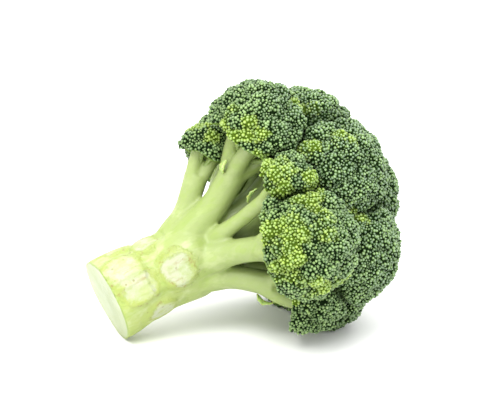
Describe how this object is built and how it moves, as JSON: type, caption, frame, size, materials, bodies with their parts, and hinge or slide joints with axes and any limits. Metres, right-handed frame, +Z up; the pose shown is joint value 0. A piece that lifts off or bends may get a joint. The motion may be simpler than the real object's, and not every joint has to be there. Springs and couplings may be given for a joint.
{
  "type": "broccoli head",
  "caption": "Head of broccoli cut from the plant: a thick pale stalk branching into stems, each under a dense crown of dark green flower buds, lying on its side.",
  "frame": {"origin": "centre of the bottom of the bounding box, on the surface that the head lies on", "axes": "+X along the surface from the cut butt towards the crown, +Z up"},
  "size_m": [0.157, 0.1448, 0.1281],
  "materials": {
    "stalk_skin": "smooth pale green skin, satin, with paler scars where leaves were sliced off and a pale cut face",
    "stem_skin": "smooth light green skin, satin",
    "flower_buds": "closed dark green flower buds, each about 2 mm across, with a waxy sheen and yellow-green patches",
    "leaf": "thin bright green leaf, satin"
  },
  "bodies": {
    "root": {"stalk": "stalk_skin", "stem_front_low": "stem_skin", "stem_front": "stem_skin", "stem_front_small": "stem_skin", "stem_top_big": "stem_skin", "stem_top_small": "stem_skin", "stem_back_high": "stem_skin", "stem_back": "stem_skin", "stem_back_low": "stem_skin", "stem_under_small": "stem_skin", "stem_tip_front_low": "stem_skin", "stem_tip_front": "stem_skin", "stem_tip_top": "stem_skin", "stem_tip_back_high": "stem_skin", "stem_tip_back": "stem_skin", "stem_tip_under": "stem_skin", "crown_front_low": "flower_buds", "crown_front": "flower_buds", "crown_front_small": "flower_buds", "crown_top_big": "flower_buds", "crown_top_small": "flower_buds", "crown_back_high": "flower_buds", "crown_back": "flower_buds", "crown_back_low": "flower_buds", "crown_under_small": "flower_buds", "crown_tip_front_low": "flower_buds", "crown_tip_front": "flower_buds", "crown_tip_top": "flower_buds", "crown_tip_back_high": "flower_buds", "crown_tip_back": "flower_buds", "crown_tip_under": "flower_buds", "crown_tip": "flower_buds", "leaf_front": "leaf", "leaf_low": "leaf", "leaf_top": "leaf", "leaf_back": "leaf"}
  },
  "joints": []
}
